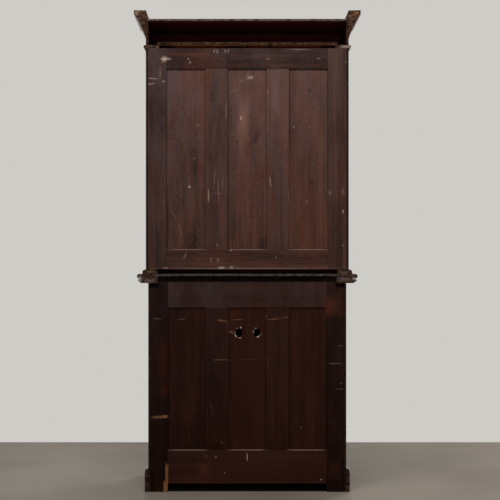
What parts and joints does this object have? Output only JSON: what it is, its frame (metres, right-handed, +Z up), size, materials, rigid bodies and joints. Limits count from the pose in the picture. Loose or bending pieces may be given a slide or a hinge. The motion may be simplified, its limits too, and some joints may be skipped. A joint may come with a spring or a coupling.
{
  "type": "bookcase with glass doors",
  "caption": "Tall bookcase with a glazed upper cabinet, splayed cornice, deeper panelled cupboard, plinth and framed panelled back.",
  "frame": {"origin": "on the floor, under the middle of the object's box", "axes": "+Z up; -Y is the front with the doors, +Y is the panelled back; +X is to the right of someone facing the doors"},
  "size_m": [1.124, 0.5, 2.3869],
  "materials": {
    "stained_back": "dark stained softwood, dry and dusty",
    "polished_wood": "dark red-brown polish",
    "raw_pine": "unpolished pine board",
    "window_glass": "clear old window glass",
    "brass": "aged, lightly tarnished",
    "lock_steel": "darkened steel"
  },
  "bodies": {
    "carcase": {"lower_left_side": "polished_wood", "lower_right_side": "polished_wood", "lower_bottom_board": "raw_pine", "lower_shelf_1": "polished_wood", "plinth": "polished_wood", "lower_back_frame": "stained_back", "lower_back_left_panel": "stained_back", "lower_back_middle_panel": "stained_back", "lower_back_right_panel": "stained_back", "waist_frame": "polished_wood", "waist_dust_board": "raw_pine", "upper_base_frame": "polished_wood", "upper_left_side": "polished_wood", "upper_right_side": "polished_wood", "upper_bottom_board": "raw_pine", "upper_top_board": "raw_pine", "upper_shelf_1": "polished_wood", "upper_shelf_2": "polished_wood", "upper_shelf_3": "polished_wood", "upper_back_frame": "stained_back", "upper_back_left_panel": "stained_back", "upper_back_middle_panel": "stained_back", "upper_back_right_panel": "stained_back", "necking_frame": "polished_wood", "cornice_dust_board": "raw_pine", "cornice_frieze": "stained_back", "cornice_top_board": "raw_pine", "crown_moulding": "polished_wood", "upper_left_bottom_hinge_fixed_leaf": "brass", "upper_left_top_hinge_fixed_leaf": "brass", "upper_right_bottom_hinge_fixed_leaf": "brass", "upper_right_top_hinge_fixed_leaf": "brass", "lower_left_bottom_hinge_fixed_leaf": "brass", "lower_left_top_hinge_fixed_leaf": "brass", "lower_right_bottom_hinge_fixed_leaf": "brass", "lower_right_top_hinge_fixed_leaf": "brass"},
    "upper_left_door": {"upper_left_door_frame": "polished_wood", "upper_left_glass_pane": "window_glass", "upper_left_glazing_bead": "polished_wood", "upper_left_bottom_hinge_door_leaf": "brass", "upper_left_top_hinge_door_leaf": "brass"},
    "upper_right_door": {"upper_right_door_frame": "polished_wood", "upper_right_glass_pane": "window_glass", "upper_right_glazing_bead": "polished_wood", "upper_right_bottom_hinge_door_leaf": "brass", "upper_right_top_hinge_door_leaf": "brass", "upper_escutcheon": "brass"},
    "lower_left_door": {"lower_left_door_frame": "polished_wood", "lower_left_door_panel": "polished_wood", "lower_left_bottom_hinge_door_leaf": "brass", "lower_left_top_hinge_door_leaf": "brass"},
    "lower_right_door": {"lower_right_door_frame": "polished_wood", "lower_right_door_panel": "polished_wood", "lower_right_bottom_hinge_door_leaf": "brass", "lower_right_top_hinge_door_leaf": "brass", "lower_escutcheon": "brass"},
    "upper_key": {"upper_key": "lock_steel"},
    "upper_bolt": {"upper_lock_bolt": "lock_steel"},
    "lower_key": {"lower_key": "lock_steel"},
    "lower_bolt": {"lower_lock_bolt": "lock_steel"}
  },
  "joints": [
    {"name": "upper_left_door_hinge", "type": "hinge", "parent": "carcase", "child": "upper_left_door", "pos_m": [-0.4794, -0.0843, 1.65], "axis": [0, 0, -1], "range_deg": [0, 170]},
    {"name": "upper_right_door_hinge", "type": "hinge", "parent": "carcase", "child": "upper_right_door", "pos_m": [0.4794, -0.0843, 1.65], "axis": [0, 0, 1], "range_deg": [0, 170]},
    {"name": "lower_left_door_hinge", "type": "hinge", "parent": "carcase", "child": "lower_left_door", "pos_m": [-0.4684, -0.1983, 0.58], "axis": [0, 0, -1], "range_deg": [0, 170]},
    {"name": "lower_right_door_hinge", "type": "hinge", "parent": "carcase", "child": "lower_right_door", "pos_m": [0.4684, -0.1983, 0.58], "axis": [0, 0, 1], "range_deg": [0, 170]},
    {"name": "upper_key_turn", "type": "hinge", "parent": "upper_right_door", "child": "upper_key", "pos_m": [0.03, -0.08, 1.56671], "axis": [0, 1, 0], "range_deg": [0, 180]},
    {"name": "upper_bolt_slide", "type": "slide", "parent": "upper_right_door", "child": "upper_bolt", "axis": [-1, 0, 0], "range_m": [0, 0.0076]},
    {"name": "lower_key_turn", "type": "hinge", "parent": "lower_right_door", "child": "lower_key", "pos_m": [0.03, -0.194, 0.68611], "axis": [0, 1, 0], "range_deg": [0, 180]},
    {"name": "lower_bolt_slide", "type": "slide", "parent": "lower_right_door", "child": "lower_bolt", "axis": [-1, 0, 0], "range_m": [0, 0.0076]}
  ],
  "couplings": [
    {"joint": "upper_bolt_slide", "follows": "upper_key_turn", "m_per_rad": 0.002387},
    {"joint": "lower_bolt_slide", "follows": "lower_key_turn", "m_per_rad": 0.002387}
  ]
}
